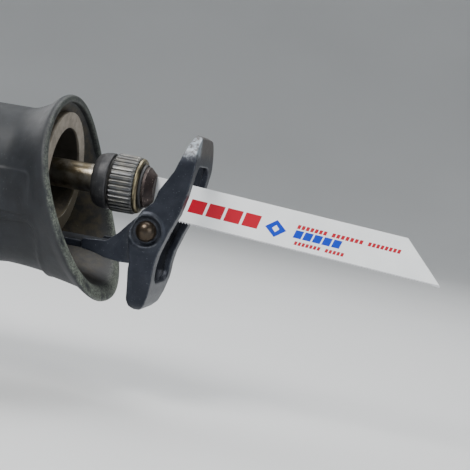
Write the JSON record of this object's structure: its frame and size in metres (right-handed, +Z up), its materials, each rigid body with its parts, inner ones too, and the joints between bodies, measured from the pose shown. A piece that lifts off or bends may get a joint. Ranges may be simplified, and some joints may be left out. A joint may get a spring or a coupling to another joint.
{
  "type": "reciprocating saw",
  "caption": "Corded reciprocating saw with a rubber front boot, twist-collar blade clamp, pivoting slotted shoe, wobble drive, motor and D-shaped trigger handle.",
  "frame": {"origin": "mouth of the blade slot in the clamp's nose, on the spindle's axis, with the spindle fully forward", "axes": "+X forward along the spindle and out of the blade slot, +Y to the saw's left, +Z up with the blade's teeth down"},
  "size_m": [0.6077, 0.102, 0.1425],
  "materials": {
    "blade_white": "white baked paint with bare ground teeth",
    "rubber_black": "moulded black rubber, dusty and scuffed",
    "grip_rubber": "soft ribbed overmould",
    "spindle_steel": "ground steel with a tan film",
    "clamp_steel": "gunmetal, bright on the rib crests",
    "clamp_dark": "dark oxide",
    "bezel_brass": "worn brassy plating",
    "shoe_black": "black oxide worn to bare steel on its edges",
    "rivet_steel": "brown oxide dome",
    "case_aluminium": "cast, dusty",
    "inner_steel": "ground",
    "bronze": "oil-filled bronze",
    "motor_plastic": "glass-filled nylon",
    "handle_plastic": "fine spark texture",
    "black_plastic": "fine texture",
    "copper": "copper",
    "lamination": "stacked sheet",
    "carbon": "carbon"
  },
  "bodies": {
    "housing": {"gearcase": "case_aluminium", "front_boot": "rubber_black", "spindle_bush": "bronze", "spindle_seal": "rubber_black", "seal_retainer": "clamp_dark", "rear_guide_bush": "bronze", "jackshaft_front_bearing": "inner_steel", "jackshaft_rear_bearing": "inner_steel", "bearing_plate": "case_aluminium", "armature_front_bearing": "inner_steel", "armature_rear_bearing": "inner_steel", "field_stator": "lamination", "motor_housing": "motor_plastic", "case_screws": "inner_steel", "brush_holders": "black_plastic", "brushes": "carbon", "brush_springs": "inner_steel", "brush_caps": "black_plastic", "handle_left": "handle_plastic", "handle_right": "handle_plastic", "grip_overmould": "grip_rubber", "handle_screws": "inner_steel", "trigger_switch": "black_plastic", "trigger_spring": "inner_steel", "cord_inlet": "black_plastic", "inlet_pins": "inner_steel", "lever_pin": "inner_steel"},
    "spindle": {"spindle": "spindle_steel", "clamp_body": "rivet_steel", "collar_sleeve": "clamp_dark", "collar_clip": "clamp_dark", "collar_spring": "inner_steel", "blade": "blade_white"},
    "collar": {"clamp_collar": "clamp_steel", "collar_bezel": "bezel_brass"},
    "lock_pin": {"lock_pin": "inner_steel"},
    "wobble_arm": {"wobble_arm": "inner_steel"},
    "jackshaft": {"jackshaft": "inner_steel", "wobble_hub": "inner_steel", "drive_gear": "inner_steel"},
    "armature": {"armature_shaft": "inner_steel", "armature_core": "lamination", "commutator": "copper", "cooling_fan": "black_plastic"},
    "shoe_bracket": {"shoe_bracket": "shoe_black", "shoe_rivets": "rivet_steel"},
    "shoe": {"shoe": "shoe_black"},
    "shoe_lever": {"shoe_lever": "clamp_dark"},
    "trigger": {"trigger": "black_plastic"},
    "lock_button": {"lock_button": "black_plastic"},
    "speed_dial": {"speed_dial": "black_plastic"}
  },
  "joints": [
    {"name": "spindle_slide", "type": "slide", "parent": "housing", "child": "spindle", "axis": [1, 0, 0], "range_m": [-0.0286, 0]},
    {"name": "wobble_swing", "type": "hinge", "parent": "housing", "child": "wobble_arm", "pos_m": [-0.1323, 0, -0.032], "axis": [0, 1, 0], "range_deg": [-53.2, 0]},
    {"name": "collar_twist", "type": "hinge", "parent": "spindle", "child": "collar", "pos_m": [-0.0146, 0, 0], "axis": [1, 0, 0], "range_deg": [0, 60], "stiffness_Nm_per_rad": 0.3, "springref_deg": -22.92},
    {"name": "lock_pin_lift", "type": "slide", "parent": "spindle", "child": "lock_pin", "axis": [0, 1, 0], "range_m": [0, 0.00221]},
    {"name": "armature_spin", "type": "hinge", "parent": "housing", "child": "armature", "pos_m": [-0.25, 0, -0.012], "axis": [1, 0, 0], "continuous": true},
    {"name": "jackshaft_spin", "type": "hinge", "parent": "housing", "child": "jackshaft", "pos_m": [-0.16, 0, -0.032], "axis": [1, 0, 0], "continuous": true},
    {"name": "shoe_slide", "type": "slide", "parent": "housing", "child": "shoe_bracket", "axis": [1, 0, 0], "range_m": [-0.004, 0.02]},
    {"name": "shoe_pivot", "type": "hinge", "parent": "shoe_bracket", "child": "shoe", "pos_m": [0.0038, 0, -0.0197], "axis": [0, 1, 0], "range_deg": [-20, 15]},
    {"name": "shoe_lever_swing", "type": "hinge", "parent": "housing", "child": "shoe_lever", "pos_m": [-0.097, 0, -0.0445], "axis": [0, 1, 0], "range_deg": [-40, 0]},
    {"name": "trigger_pull", "type": "slide", "parent": "housing", "child": "trigger", "axis": [-1, 0, 0], "range_m": [0, 0.007], "stiffness_N_per_m": 800, "springref_m": -0.002, "deforming": ["trigger_spring"]},
    {"name": "lock_button_push", "type": "slide", "parent": "housing", "child": "lock_button", "axis": [0, -1, 0], "range_m": [0, 0.0035], "stiffness_N_per_m": 800, "springref_m": -0.001},
    {"name": "speed_dial_turn", "type": "hinge", "parent": "housing", "child": "speed_dial", "pos_m": [-0.374, 0, 0.0155], "axis": [0, 1, 0], "range_deg": [-135, 135]}
  ],
  "couplings": [
    {"joint": "wobble_swing", "follows": "spindle_slide", "rad_per_m": 32.396},
    {"joint": "lock_pin_lift", "follows": "collar_twist", "m_per_rad": 0.0021008},
    {"joint": "jackshaft_spin", "follows": "armature_spin", "ratio": -0.25}
  ]
}
